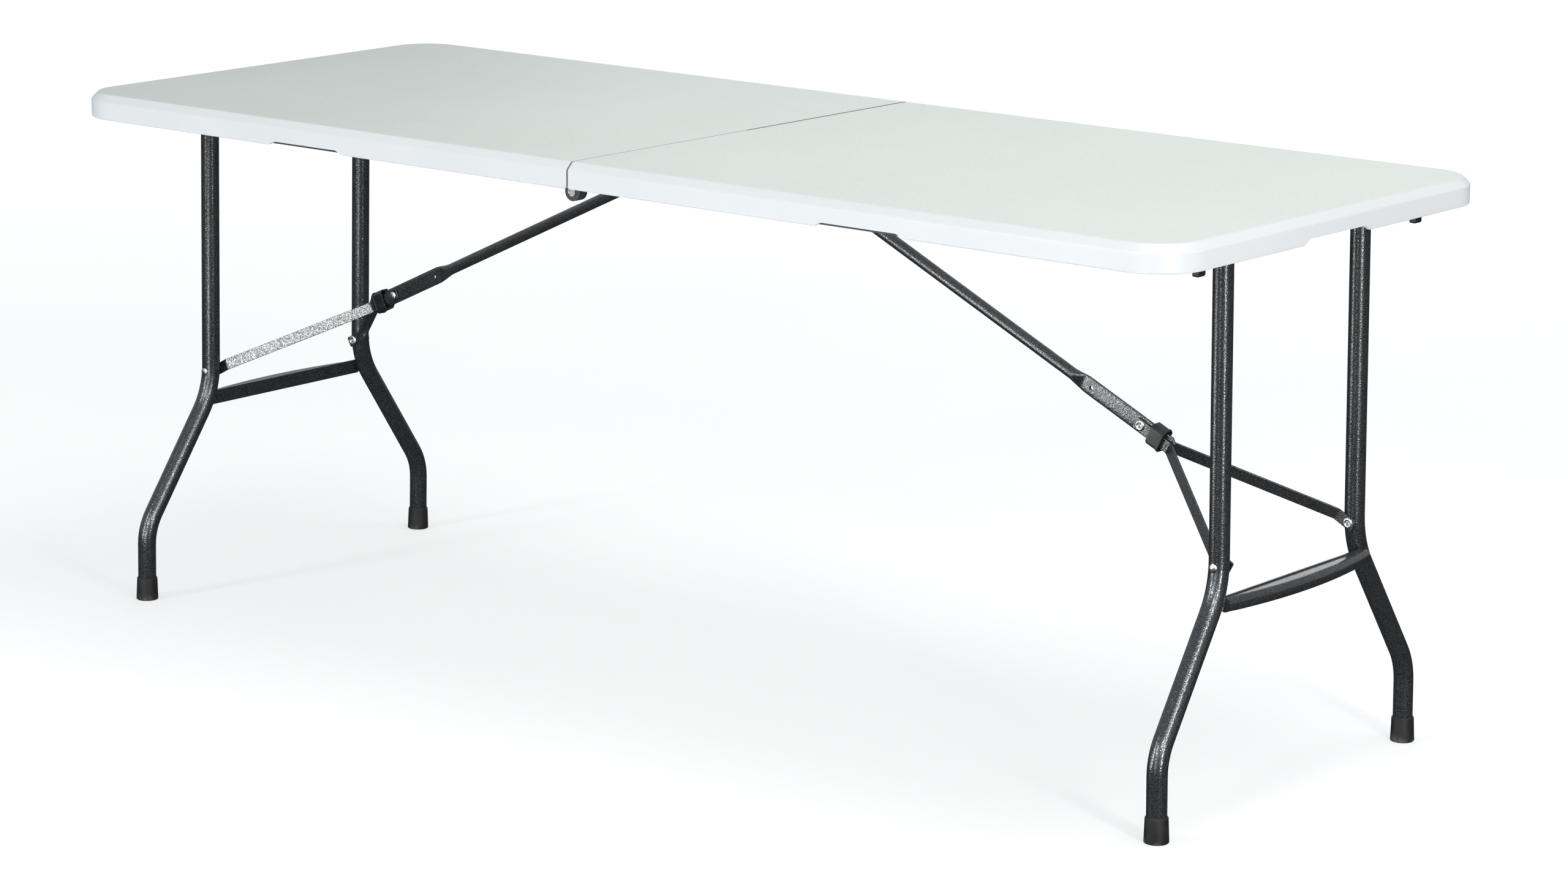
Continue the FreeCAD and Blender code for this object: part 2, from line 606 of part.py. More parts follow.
# ---------------------------------------------------------------- leg set
def leg_path():
    """Centre line of the far leg before it leans, from its top down to its sole."""
    foot_z = LEG_PIVOT_Z - (LEG_PIVOT_Z + 0.5) / math.cos(math.radians(LEAN))
    points = [Vector(LEG_PIVOT_X, LEG_TOP_Y, LEG_PIVOT_Z + 3),
              Vector(LEG_PIVOT_X, LEG_TOP_Y, UPPER_BEND_Z),
              Vector(LEG_PIVOT_X, LEG_FOOT_Y, LOWER_BEND_Z),
              Vector(LEG_PIVOT_X, LEG_FOOT_Y, foot_z + CAP_SOLE)]
    return bent_path(points, [UPPER_BEND_RADIUS, LOWER_BEND_RADIUS])


def leaned(shape):
    """A piece of the right leg set, swung from upright to its slightly splayed stance."""
    copy = shape.copy()
    copy.rotate(LEG_PIVOT, AXIS_Y, -LEAN)
    return copy


def leg_far():
    path = leg_path()
    leg = swept(path, LEG_RADIUS).cut(swept(path, LEG_RADIUS - LEG_SHEET))
    y_low, y_high = LEG_TOP_Y - THROUGH, LEG_TOP_Y + THROUGH
    bar = rod(LEG_PIVOT_X, LEG_PIVOT_Z, PIVOT_BAR_RADIUS, y_low, y_high)
    hole = rod(LEG_PIVOT_X, LEG_PIVOT_Z - ARM_PIVOT_DROP, RIVET_RADIUS + HOLE_GAP, y_low, y_high)
    return leaned(leg.cut([bar, hole]))


def pivot_bar():
    """Steel tube welded across the tops of the two legs, with its ends in the rails."""
    end = RAIL_OUTER_Y - 0.5
    return leaned(tube(LEG_PIVOT_X, LEG_PIVOT_Z, PIVOT_BAR_RADIUS, PIVOT_BAR_SHEET, -end, end))


def crossbar():
    """Formed bar between the legs at the upper bends, straight inside and bowed outside."""
    z = LEG_PIVOT_Z - CROSSBAR_DROP - CROSSBAR_HEIGHT / 2
    inner = LEG_PIVOT_X + CROSSBAR_OFFSET
    outer = inner + CROSSBAR_END_DEPTH
    reach = LEG_TOP_Y + 6
    inner_near, inner_far = Vector(inner, -reach, z), Vector(inner, reach, z)
    outer_near, outer_far = Vector(outer, -reach, z), Vector(outer, reach, z)
    bow = Part.Arc(outer_far, Vector(outer + CROSSBAR_BOW, 0, z), outer_near).toShape()
    edges = [Part.makeLine(inner_near, inner_far), Part.makeLine(inner_far, outer_far), bow,
             Part.makeLine(outer_near, inner_near)]
    bar = Part.Face(Part.Wire(edges)).extrude(AXIS_Z * CROSSBAR_HEIGHT)
    long_outer = [e for e in bar.Edges
                  if e.BoundBox.YLength > reach and e.BoundBox.ZLength < 0.01 and e.BoundBox.XMax > outer]
    bar = bar.makeFillet(CROSSBAR_ROUNDING, long_outer)
    lip_width, lip_height = CROSSBAR_LIP
    top_z = z + CROSSBAR_HEIGHT
    lip = box((inner, inner + lip_width), (-reach, reach), (top_z, top_z + lip_height))
    far_leg = swept(leg_path(), LEG_RADIUS)
    return leaned(joined([bar, lip]).cut([far_leg, across(far_leg)]))


def foot_cap_far():
    """Plastic cap pushed over the end of the leg, slightly wider at the floor."""
    sole_z = leg_path().BoundBox.ZMin - CAP_SOLE
    profile = [(0, sole_z), (CAP_RADIUS - 1.5, sole_z), (CAP_RADIUS, sole_z + 1.5),
               (CAP_RADIUS - 0.3, sole_z + 9), (CAP_TOP_RADIUS, sole_z + CAP_LENGTH - 1),
               (CAP_TOP_RADIUS - 0.8, sole_z + CAP_LENGTH), (LEG_RADIUS, sole_z + CAP_LENGTH),
               (LEG_RADIUS, sole_z + CAP_SOLE), (0, sole_z + CAP_SOLE)]
    points = [Vector(LEG_PIVOT_X + x, LEG_FOOT_Y, z) for x, z in profile + profile[:1]]
    cap = Part.Face(Part.makePolygon(points)).revolve(Vector(LEG_PIVOT_X, LEG_FOOT_Y, 0), AXIS_Z, 360)
    leaned_cap = leaned(cap)
    bounds = leaned_cap.BoundBox
    below_floor = box((bounds.XMin, bounds.XMax), (bounds.YMin, bounds.YMax), (-THROUGH, 0))
    return leaned_cap.cut(below_floor)


def leg_rivets():
    """Outer halves of the rivets that hold the brace arms: dome outside, shank through the leg."""
    z = LEG_PIVOT_Z - ARM_PIVOT_DROP
    centre = Vector(LEG_PIVOT_X, 0, z)
    seat = LEG_TOP_Y + LEG_RADIUS + 0.2
    head = joined([rivet_head(centre, seat, 1), rod(centre.x, z, RIVET_HEAD_RADIUS, seat - 4, seat)])
    head = head.cut(swept(leg_path(), LEG_RADIUS))
    shank = rod(centre.x, z, RIVET_RADIUS, LEG_TOP_Y - LEG_RADIUS + 0.2, seat)
    far = leaned(joined([shank, head]))
    return Part.Compound([across(far), far])


# ---------------------------------------------------------------- brace
def sloped_from(shape, pivot, slope):
    """A piece modelled along +X from the pivot, swung down by the slope."""
    copy = shape.copy()
    copy.rotate(pivot, AXIS_Y, slope)
    return copy


def oval_wire(x, half_height, half_width, corner_angle):
    """Oval across the brace in four parts: an arc over the top, one below and two sides.

    The parts meet where the top and bottom arcs have turned by corner_angle from upright.  With
    half_height = half_width and 45 degrees the oval is a circle; with 90 degrees the arcs are
    half circles of radius half_width and the sides are straight.
    """
    radius = half_width
    rise = half_height - radius
    side_y = radius * math.sin(math.radians(corner_angle))
    side_z = rise + radius * math.cos(math.radians(corner_angle))

    def at(y, z):
        return Vector(x, y, BRACE_PIVOT_Z + z)

    corners = [at(-side_y, side_z), at(side_y, side_z), at(side_y, -side_z), at(-side_y, -side_z)]
    top = Part.Arc(corners[0], at(0, half_height), corners[1]).toShape()
    bottom = Part.Arc(corners[2], at(0, -half_height), corners[3]).toShape()
    if corner_angle < 90:
        sides = [Part.Arc(corners[1], at(half_width, 0), corners[2]).toShape(),
                 Part.Arc(corners[3], at(-half_width, 0), corners[0]).toShape()]
    else:
        sides = [Part.makeLine(corners[1], corners[2]), Part.makeLine(corners[3], corners[0])]
    return Part.Wire([top, sides[0], bottom, sides[1]])


def brace_tube():
    """Round tube whose lower end is pressed flat for the knee."""
    x0, z0 = BRACE_PIVOT_X, BRACE_PIVOT_Z
    upper_end = x0 - TUBE_PAST_PIVOT
    knee_x = x0 + TUBE_LENGTH
    neck_x = knee_x - FLAT_BEFORE_KNEE
    round_end = neck_x - NECK_LENGTH
    flat_end = knee_x + FLAT_PAST_KNEE
    half_height, half_width = FLAT_HEIGHT / 2, FLAT_THICKNESS / 2
    barrel = Part.Face(oval_wire(upper_end, BRACE_RADIUS, BRACE_RADIUS, 45))
    neck = Part.makeLoft([oval_wire(round_end, BRACE_RADIUS, BRACE_RADIUS, 45),
                          oval_wire(neck_x, half_height, half_width, 90)], True, True)
    flat = Part.Face(oval_wire(neck_x, half_height, half_width, 90))
    shape = joined([barrel.extrude(AXIS_X * (round_end - upper_end)), neck,
                    flat.extrude(AXIS_X * (flat_end - neck_x))])
    cuts = [Part.makeCylinder(BRACE_RADIUS - BRACE_SHEET, round_end - upper_end - 4,
                              Vector(upper_end, 0, z0), AXIS_X),
            rod(x0, z0, RIVET_RADIUS + RUNNING_GAP, -THROUGH, THROUGH),
            rod(knee_x, z0, RIVET_RADIUS + RUNNING_GAP, -THROUGH, THROUGH),
            rod(neck_x + 2 * NECK_HOLE_RADIUS, z0, NECK_HOLE_RADIUS, -THROUGH, THROUGH)]
    for sign in (-1, 1):
        edge_z = z0 + sign * (half_height + 1)
        corner = [(flat_end - FLAT_CORNER_CUT, edge_z), (flat_end + 1, edge_z),
                  (flat_end + 1, edge_z - sign * (FLAT_CORNER_CUT + 1))]
        cuts.append(plate_xz(corner, -THROUGH, THROUGH))
    return sloped_from(shape.cut(cuts), BRACE_PIVOT, TUBE_SLOPE)


def arm_far():
    """Flat bar from the knee to the far leg: flat against the brace, bent out, then along the leg."""
    z = KNEE.z
    near_y = ARM_GAP + ARM_THICKNESS / 2
    leg_y = LEG_TOP_Y - LEG_RADIUS - BODY_GAP - ARM_THICKNESS / 2
    bend_x = ARM_LENGTH - ARM_END_FLAT
    run = math.atan2(leg_y - near_y, bend_x - ARM_STRAIGHT)
    half = ARM_THICKNESS / 2
    shift = half * math.tan(run / 2)
    past = ARM_PAST_RIVET
    outline = [(-past, near_y + half), (ARM_STRAIGHT - shift, near_y + half), (bend_x - shift, leg_y + half),
               (ARM_LENGTH + past, leg_y + half), (ARM_LENGTH + past, leg_y - half),
               (bend_x + shift, leg_y - half), (ARM_STRAIGHT + shift, near_y - half), (-past, near_y - half)]
    points = [Vector(KNEE.x + x, y, z - ARM_WIDTH / 2) for x, y in outline + outline[:1]]
    strip = Part.Face(Part.makePolygon(points)).extrude(AXIS_Z * ARM_WIDTH)
    bends = [e for e in strip.Edges
             if e.BoundBox.ZLength > 1 and KNEE.x + 10 < e.BoundBox.XMin < KNEE.x + ARM_LENGTH - 5]
    strip = strip.makeFillet(4.0, bends)
    corners = [e for e in strip.Edges
               if e.BoundBox.XLength < 0.01 and e.BoundBox.ZLength < 0.01 and e.BoundBox.YLength > half]
    strip = eased(strip.makeFillet(ARM_END_CORNER, corners), SHEET_EDGE_RADIUS, 2.0)
    holes = [rod(KNEE.x, z, RIVET_RADIUS + HOLE_GAP, 0, THROUGH),
             rod(KNEE.x + ARM_LENGTH, z, RIVET_RADIUS + HOLE_GAP, leg_y - THROUGH, leg_y + THROUGH)]
    return sloped_from(strip.cut(holes), KNEE, ARM_SLOPE)


def hollow_head(centre, seat_y):
    """Rolled end of a tubular rivet, on the -Y side of the plane y = seat_y."""
    head = rod(centre.x, centre.z, HOLLOW_HEAD_RADIUS, seat_y - HOLLOW_HEAD_HEIGHT, seat_y)
    return head.makeFillet(0.8, [e for e in head.Edges if e.BoundBox.YMax < seat_y - 1])


def rivet_hollow(centre, seat_y):
    """The blind hole in a tubular rivet's rolled end."""
    return rod(centre.x, centre.z, HOLLOW_RADIUS, seat_y - HOLLOW_HEAD_HEIGHT - 1, seat_y + 1)


def knee_rivet():
    """Tubular rivet: rolled end towards -Y, dome towards +Y."""
    seat = ARM_GAP + ARM_THICKNESS
    shank = rod(KNEE.x, KNEE.z, RIVET_RADIUS, -seat, seat)
    return joined([shank, rivet_head(KNEE, seat, 1), hollow_head(KNEE, -seat)]).cut(rivet_hollow(KNEE, -seat))


def arm_rivets():
    """Inner halves of the leg rivets: rolled ends against the arms."""
    seat = LEG_TOP_Y - LEG_RADIUS - BODY_GAP - ARM_THICKNESS
    shank = rod(ARM_PIVOT.x, ARM_PIVOT.z, RIVET_RADIUS, seat, seat + ARM_THICKNESS)
    far = joined([hollow_head(ARM_PIVOT, seat), shank]).cut(rivet_hollow(ARM_PIVOT, seat))
    return Part.Compound([across(far), far])


def ring_section(half_width, half_height, corner, x, length):
    """Block along X about the brace axis with its four long edges cut off at 45 degrees."""
    block = box((x, x + length), (-half_width, half_width), (KNEE.z - half_height, KNEE.z + half_height))
    long_edges = [e for e in block.Edges if e.BoundBox.XLength > length / 2]
    return block.makeChamfer(corner, long_edges)


def lock_ring():
    """Plastic ring that slides along the brace over the knee and keeps it straight."""
    start = KNEE.x + RING_OFFSET - RING_LENGTH / 2
    outer_width = RING_HALF_WIDTH + RING_WALL
    outer_height = RING_HALF_HEIGHT + RING_WALL
    sleeve = ring_section(outer_width, outer_height, 4.5, start, RING_LENGTH)
    collar = ring_section(outer_width + RING_COLLAR_STEP, outer_height + RING_COLLAR_STEP, 5.0,
                          start + RING_LENGTH - RING_COLLAR, RING_COLLAR)
    hole = ring_section(RING_HALF_WIDTH, RING_HALF_HEIGHT, 2.0, start - 1, RING_LENGTH + 2)
    ring = eased(joined([sleeve, collar]).cut(hole), RING_EDGE_RADIUS, 0.5)
    return sloped_from(ring, KNEE, TUBE_SLOPE)


# ---------------------------------------------------------------- output
def table_nodes():
    """Every sub-part by name, for both halves."""
    nodes = {"hinge_pins": hinge_pins(),
             "hinge_tongue_near": hinge_tongue_near(), "hinge_tongue_far": across(hinge_tongue_near()),
             "hinge_fork_near": hinge_fork_near(), "hinge_fork_far": across(hinge_fork_near())}
    turned_pairs = {"table_top": top_half(), "latch_near": latch_near(), "latch_far": latch_far(),
                    "latch_screws": latch_screws(), "rail_near": rail_near(),
                    "rail_far": across(rail_near()), "rail_screws": rail_screws()}
    mirrored_pairs = {"brace_bar": brace_bar(), "brace_clevis": brace_clevis(),
                      "brace_pivot_rivet": brace_pivot_rivet(),
                      "pivot_bar": pivot_bar(), "leg_near": across(leg_far()), "leg_far": leg_far(),
                      "crossbar": crossbar(), "foot_cap_near": across(foot_cap_far()),
                      "foot_cap_far": foot_cap_far(), "leg_rivets": leg_rivets(),
                      "brace_tube": brace_tube(), "brace_arm_near": across(arm_far()),
                      "brace_arm_far": arm_far(), "knee_rivet": knee_rivet(), "arm_rivets": arm_rivets(),
                      "lock_ring": lock_ring()}
    opposite = {"rail_near": "rail_far", "rail_far": "rail_near",
                "latch_near": "latch_far", "latch_far": "latch_near"}
    for name, shape in turned_pairs.items():
        nodes[name + "_right"] = shape
        nodes[opposite.get(name, name) + "_left"] = turned(shape)
    for name, shape in mirrored_pairs.items():
        nodes[name + "_right"] = shape
        nodes[name + "_left"] = mirrored(shape)
    return nodes


os.makedirs("parts", exist_ok=True)
for node, node_shape in table_nodes().items():
    node_shape.exportStep("parts/" + node + ".step")
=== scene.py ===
import json
import math
import random

import bmesh
import bpy
from mathutils import Matrix, Vector


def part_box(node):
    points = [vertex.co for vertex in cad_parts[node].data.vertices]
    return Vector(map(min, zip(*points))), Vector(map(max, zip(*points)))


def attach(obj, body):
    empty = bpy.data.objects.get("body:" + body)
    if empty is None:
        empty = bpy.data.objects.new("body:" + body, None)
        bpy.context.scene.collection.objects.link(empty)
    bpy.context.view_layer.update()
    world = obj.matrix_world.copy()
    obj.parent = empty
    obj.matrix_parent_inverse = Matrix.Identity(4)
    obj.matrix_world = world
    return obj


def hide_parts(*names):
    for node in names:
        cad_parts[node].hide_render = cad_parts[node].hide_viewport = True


# Looks of the folding table: materials for the CAD nodes, finer meshes for the parts that are
# seen close up, weld beads, a pale studio floor, soft light and the camera.  Metres throughout.

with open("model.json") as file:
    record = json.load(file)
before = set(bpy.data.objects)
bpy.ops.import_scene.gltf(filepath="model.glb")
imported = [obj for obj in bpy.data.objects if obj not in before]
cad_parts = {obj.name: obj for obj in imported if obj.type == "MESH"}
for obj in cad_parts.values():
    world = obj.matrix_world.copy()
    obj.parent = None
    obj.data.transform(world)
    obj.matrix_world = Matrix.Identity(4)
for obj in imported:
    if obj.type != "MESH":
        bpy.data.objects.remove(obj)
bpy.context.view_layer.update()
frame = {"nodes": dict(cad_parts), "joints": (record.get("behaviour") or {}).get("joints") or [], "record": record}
nodes = frame["nodes"]
SIDES = ("left", "right")


# ---------------------------------------------------------------- material helpers
class Nodes:
    """A material's node tree, with short calls for adding and joining nodes."""

    def __init__(self, name):
        self.material = bpy.data.materials.new(name)
        self.material.use_nodes = True
        self.tree = self.material.node_tree
        self.shader = self.tree.nodes["Principled BSDF"]

    def add(self, kind, inputs=None, **settings):
        node = self.tree.nodes.new(kind)
        for key, value in settings.items():
            setattr(node, key, value)
        for socket, value in (inputs or {}).items():
            if isinstance(value, bpy.types.NodeSocket):
                self.tree.links.new(value, node.inputs[socket])
            else:
                node.inputs[socket].default_value = value
        return node

    def to_shader(self, **sockets):
        for name, value in sockets.items():
            socket = self.shader.inputs[name.replace("_", " ")]
            if isinstance(value, bpy.types.NodeSocket):
                self.tree.links.new(value, socket)
            else:
                socket.default_value = value

    def coordinates(self):
        return self.add("ShaderNodeTexCoord")

    def noise(self, where, scale, detail, roughness=0.5):
        inputs = {"Vector": where, "Scale": scale, "Detail": detail, "Roughness": roughness}
        return self.add("ShaderNodeTexNoise", inputs).outputs["Fac"]

    def cells(self, where, scale):
        """Distance to the middle of the nearest cell, smoothed between cells."""
        inputs = {"Vector": where, "Scale": scale}
        return self.add("ShaderNodeTexVoronoi", inputs, feature="SMOOTH_F1").outputs["Distance"]

    def ramp(self, value, low, high, start=0.0, end=1.0):
        """value from low..high spread over start..end, and held outside that."""
        inputs = {"Value": value, "From Min": low, "From Max": high, "To Min": start, "To Max": end}
        node = self.add("ShaderNodeMapRange", inputs, interpolation_type="SMOOTHSTEP")
        return node.outputs["Result"]

    def maths(self, operation, a, b=0.0):
        return self.add("ShaderNodeMath", {0: a, 1: b}, operation=operation).outputs[0]

    def mix(self, factor, a, b):
        node = self.add("ShaderNodeMix", data_type="RGBA")
        for socket, value in (("Factor", factor), ("A", a), ("B", b)):
            match = [s for s in node.inputs if s.name == socket and s.enabled][0]
            if isinstance(value, bpy.types.NodeSocket):
                self.tree.links.new(value, match)
            else:
                match.default_value = value
        return [s for s in node.outputs if s.enabled][0]

    def bump(self, height, distance, strength, under=None):
        inputs = {"Height": height, "Distance": distance, "Strength": strength}
        if under is not None:
            inputs["Normal"] = under
        return self.add("ShaderNodeBump", inputs).outputs["Normal"]


def grey(level):
    return (level, level, level, 1)


# ---------------------------------------------------------------- materials
# Colours are linear; texture scales are per metre and bump distances are in metres.  Middle and
# edge are those of one cell of the grain or of one dimple.
GRAIN_MIDDLE = (0.655, 0.700, 0.660, 1)
GRAIN_EDGE = (0.560, 0.605, 0.565, 1)
GRAIN_CLOUD = (0.66, 0.70, 0.665, 1)
WALL_DARK = (0.62, 0.642, 0.655, 1)
WALL_LIGHT = (0.655, 0.672, 0.682, 1)
TOP_SCUFF = grey(0.42)
# painted shade along the seam: its colour, and the distances from the seam's plane where it is full and where it
# is gone
SEAM_PAINTED_SHADE = grey(0.05)
SEAM_SHADE_FULL, SEAM_SHADE_NONE = 0.0009, 0.0016   # distances from the seam's plane
PAINT_MIDDLE = (0.040, 0.043, 0.046, 1)
PAINT_EDGE = (0.012, 0.013, 0.014, 1)
PAINT_FLECK = (0.34, 0.36, 0.38, 1)
PAINT_PATCH = (0.026, 0.026, 0.029, 1)
DIMPLE_WOBBLE = 0.0012
RAIL_DARK = (0.022, 0.023, 0.025, 1)
RAIL_LIGHT = (0.040, 0.041, 0.043, 1)
FLOOR_DUST = (0.12, 0.115, 0.11, 1)
ZINC_BLUE = (0.66, 0.70, 0.74, 1)
ZINC_YELLOW = (0.74, 0.72, 0.66, 1)
ZINC_MARK = grey(0.35)
PAPER_DARK = (0.40, 0.402, 0.405, 1)
PAPER_LIGHT = (0.42, 0.42, 0.42, 1)
WHITE_GLOW = (1.0, 1.0, 1.0, 1)
PLASTIC_IOR = 1.5
NYLON_IOR = 1.49


def top_plastic():
    """Moulded polyethylene: greenish pebble grain on top, smooth bluish white bevel and rims.

    The edges along the seam are darkened with painted shade, as if the gap were in shadow,
    but not the two faces that meet there.
    """
    m = Nodes("table_polyethylene")
    coords = m.coordinates()
    where = coords.outputs["Object"]
    facing = m.add("ShaderNodeSeparateXYZ", {"Vector": coords.outputs["Normal"]})
    from_seam = m.maths("ABSOLUTE", m.add("ShaderNodeSeparateXYZ", {"Vector": where}).outputs["X"])
    on_top = m.ramp(facing.outputs["Z"], 0.93, 0.995)
    seam_side = m.ramp(m.maths("ABSOLUTE", facing.outputs["X"]), 0.9, 0.98)
    # painted shade on the seam's edges, as if the gap between the halves were in shadow
    painted_seam_shade = m.maths("MULTIPLY", m.ramp(from_seam, SEAM_SHADE_FULL, SEAM_SHADE_NONE, 0.92, 0.0),
                      m.maths("SUBTRACT", 1.0, seam_side))
    pebbles = m.cells(where, scale=620.0)
    grit = m.noise(where, scale=1500.0, detail=3.0)
    clouds = m.noise(where, scale=2.3, detail=4.0, roughness=0.55)
    stretched = m.add("ShaderNodeMapping", {"Vector": where, "Rotation": (0, 0, 0.5),
                                            "Scale": (1.0, 9.0, 1.0)}).outputs["Vector"]
    scuffs = m.noise(stretched, scale=38.0, detail=5.0, roughness=0.7)
    grain_tone = m.mix(m.ramp(pebbles, 0.15, 0.75), GRAIN_MIDDLE, GRAIN_EDGE)
    grain_tone = m.mix(m.ramp(clouds, 0.35, 0.7, 0.0, 0.5), grain_tone, GRAIN_CLOUD)
    wall_tone = m.mix(m.ramp(clouds, 0.3, 0.7), WALL_DARK, WALL_LIGHT)
    tone = m.mix(on_top, wall_tone, grain_tone)
    tone = m.mix(m.ramp(scuffs, 0.66, 0.8, 0.0, 0.12), tone, TOP_SCUFF)
    # paint the seam's shade over the tone
    tone = m.mix(painted_seam_shade, tone, SEAM_PAINTED_SHADE)
    gloss = m.maths("ADD", m.ramp(on_top, 0, 1, 0.34, 0.46), m.ramp(scuffs, 0.3, 0.8, -0.04, 0.08))
    pebble_bump = m.bump(m.maths("MULTIPLY", pebbles, on_top), distance=0.00022, strength=0.9)
    m.to_shader(Base_Color=tone, Roughness=gloss, IOR=PLASTIC_IOR,
                Normal=m.bump(grit, distance=0.00003, strength=0.35, under=pebble_bump))
    return m.material


def hammered_paint():
    """Dark grey hammertone paint under a clear coat: tiny dimples, brighter metallic flecks."""
    m = Nodes("hammertone_paint")
    where = m.coordinates().outputs["Object"]
    wobble = m.noise(where, scale=260.0, detail=2.0)
    shift = m.add("ShaderNodeVectorMath", {0: wobble, 1: (DIMPLE_WOBBLE,) * 3},
                  operation="MULTIPLY").outputs[0]
    warped = m.add("ShaderNodeVectorMath", {0: where, 1: shift}, operation="ADD").outputs[0]
    dimples = m.cells(warped, scale=640.0)
    fleck = m.noise(where, scale=820.0, detail=3.0, roughness=0.65)
    patches = m.noise(where, scale=14.0, detail=3.0)
    base = m.mix(m.ramp(dimples, 0.1, 0.7), PAINT_MIDDLE, PAINT_EDGE)
    base = m.mix(m.ramp(fleck, 0.50, 0.66, 0.0, 0.6), base, PAINT_FLECK)
    base = m.mix(m.ramp(patches, 0.35, 0.75, 0.0, 0.25), base, PAINT_PATCH)
    rough = m.maths("ADD", m.ramp(fleck, 0.35, 0.7, 0.33, 0.22),
                    m.ramp(patches, 0.3, 0.7, -0.03, 0.04))
    metallic = m.ramp(fleck, 0.46, 0.70, 0.4, 0.9)
    dimpled = m.bump(dimples, distance=0.00022, strength=0.8)
    m.to_shader(Base_Color=base, Roughness=rough, Metallic=metallic, IOR=PLASTIC_IOR,
                Normal=dimpled, Coat_Weight=0.7, Coat_Roughness=0.12, Coat_Normal=dimpled)
    return m.material


def rail_paint():
    """Near-black satin powder coat with a slight orange peel."""
    m = Nodes("rail_powder_coat")
    where = m.coordinates().outputs["Object"]
    peel = m.noise(where, scale=420.0, detail=2.0)
    patches = m.noise(where, scale=9.0, detail=4.0)
    tone = m.mix(m.ramp(patches, 0.3, 0.7), RAIL_DARK, RAIL_LIGHT)
    m.to_shader(Base_Color=tone, Roughness=m.ramp(patches, 0.3, 0.7, 0.36, 0.5), IOR=PLASTIC_IOR,
                Normal=m.bump(peel, distance=0.00012, strength=0.6))
    return m.material


def moulded_plastic(name, dark, light, roughness, scuff_height=None):
    """Black moulded plastic; below scuff_height it is greyed by the floor."""
    m = Nodes(name)
    where = m.coordinates().outputs["Object"]
    texture = m.noise(where, scale=1700.0, detail=2.0)
    patches = m.noise(where, scale=45.0, detail=4.0, roughness=0.6)
    tone = m.mix(m.ramp(patches, 0.35, 0.7), dark, light)
    if scuff_height is not None:
        height = m.add("ShaderNodeSeparateXYZ", {"Vector": where}).outputs["Z"]
        scuffed = m.maths("MULTIPLY", m.ramp(height, 0.0, scuff_height, 0.6, 0.0),
                          m.ramp(patches, 0.45, 0.62))
        tone = m.mix(scuffed, tone, FLOOR_DUST)
    gloss = m.ramp(patches, 0.3, 0.75, roughness - 0.06, roughness + 0.1)
    m.to_shader(Base_Color=tone, Roughness=gloss, IOR=NYLON_IOR,
                Normal=m.bump(texture, distance=0.00004, strength=0.6))
    return m.material


def zinc():
    """Bright zinc plate, with a faint bluish and yellowish passivation."""
    m = Nodes("zinc_plate")
    where = m.coordinates().outputs["Object"]
    patches = m.noise(where, scale=190.0, detail=3.0)
    marks = m.noise(where, scale=900.0, detail=4.0, roughness=0.7)
    tone = m.mix(m.ramp(patches, 0.35, 0.65), ZINC_BLUE, ZINC_YELLOW)
    tone = m.mix(m.ramp(marks, 0.55, 0.75, 0.0, 0.5), tone, ZINC_MARK)
    m.to_shader(Base_Color=tone, Metallic=1.0, Roughness=m.ramp(marks, 0.3, 0.7, 0.2, 0.4),
                Normal=m.bump(marks, distance=0.00005, strength=0.5))
    return m.material


def floor_material():
    """Pale studio paper that glows, more with distance, so that shadows on it stay faint."""
    m = Nodes("studio_floor")
    where = m.coordinates().outputs["Object"]
    mottle = m.noise(where, scale=1.1, detail=2.0)
    fibres = m.noise(where, scale=900.0, detail=2.0)
    tone = m.mix(m.ramp(mottle, 0.3, 0.7), PAPER_DARK, PAPER_LIGHT)
    distance = m.add("ShaderNodeVectorMath", {0: where}, operation="LENGTH").outputs["Value"]
    m.to_shader(Base_Color=tone, Roughness=0.8,
                Normal=m.bump(fibres, distance=0.00003, strength=0.3),
                Emission_Color=WHITE_GLOW,
                Emission_Strength=m.ramp(distance, 0.6, 6.0, 0.61, 0.83))
    return m.material


BLACK = (0.010, 0.010, 0.011, 1)
BLACK_LIGHT = (0.022, 0.022, 0.023, 1)
FOOT_LIGHT = (0.014, 0.014, 0.014, 1)
FOOT_SCUFF_HEIGHT = 0.012
materials = {
    "top_plastic": top_plastic(),
    "hammered_paint": hammered_paint(),
    "rail_paint": rail_paint(),
    "black_plastic": moulded_plastic("black_nylon", BLACK, BLACK_LIGHT, roughness=0.32),
    "foot_plastic": moulded_plastic("foot_rubber", BLACK, FOOT_LIGHT, roughness=0.5,
                                    scuff_height=FOOT_SCUFF_HEIGHT),
    "zinc": zinc(),
}
slot_of_node = {part["node"]: part["material_slot"] for part in frame["record"]["subparts"]}
for name, node in nodes.items():
    node.material_slots[0].material = materials[slot_of_node[name]]


# ---------------------------------------------------------------- mesh helpers
SHARP_ANGLE = 35.0          # degrees
HOLE_SEGMENTS = 32
pivots = {joint["name"]: Vector(joint["pos_m"]) for joint in frame["joints"] if "pos_m" in joint}


def body_of(node):
    """Name of the body that a CAD node belongs to."""
    groups = frame["record"]["behaviour"]["bodies"]
    return next(body for body, members in groups.items() if node in members)


def mark_edges(shape, sharp_angle):
    """Smooth faces, with the edges that turn by sharp_angle degrees or more kept sharp."""
    for face in shape.faces:
        face.smooth = True
    limit = math.radians(sharp_angle)
    for edge in shape.edges:
        edge.smooth = len(edge.link_faces) < 2 or edge.calc_face_angle() < limit


def add_piece(name, shape, material, body, replaced=(), sharp_angle=SHARP_ANGLE):
    """A bmesh as a smooth-shaded piece that rides on a CAD body."""
    bmesh.ops.recalc_face_normals(shape, faces=shape.faces)
    mark_edges(shape, sharp_angle)
    mesh = bpy.data.meshes.new(name)
    shape.to_mesh(mesh)
    shape.free()
    piece = bpy.data.objects.new(name, mesh)
    mesh.materials.append(materials[material])
    bpy.context.scene.collection.objects.link(piece)
    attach(piece, body)
    if replaced:
        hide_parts(*replaced)
    return piece


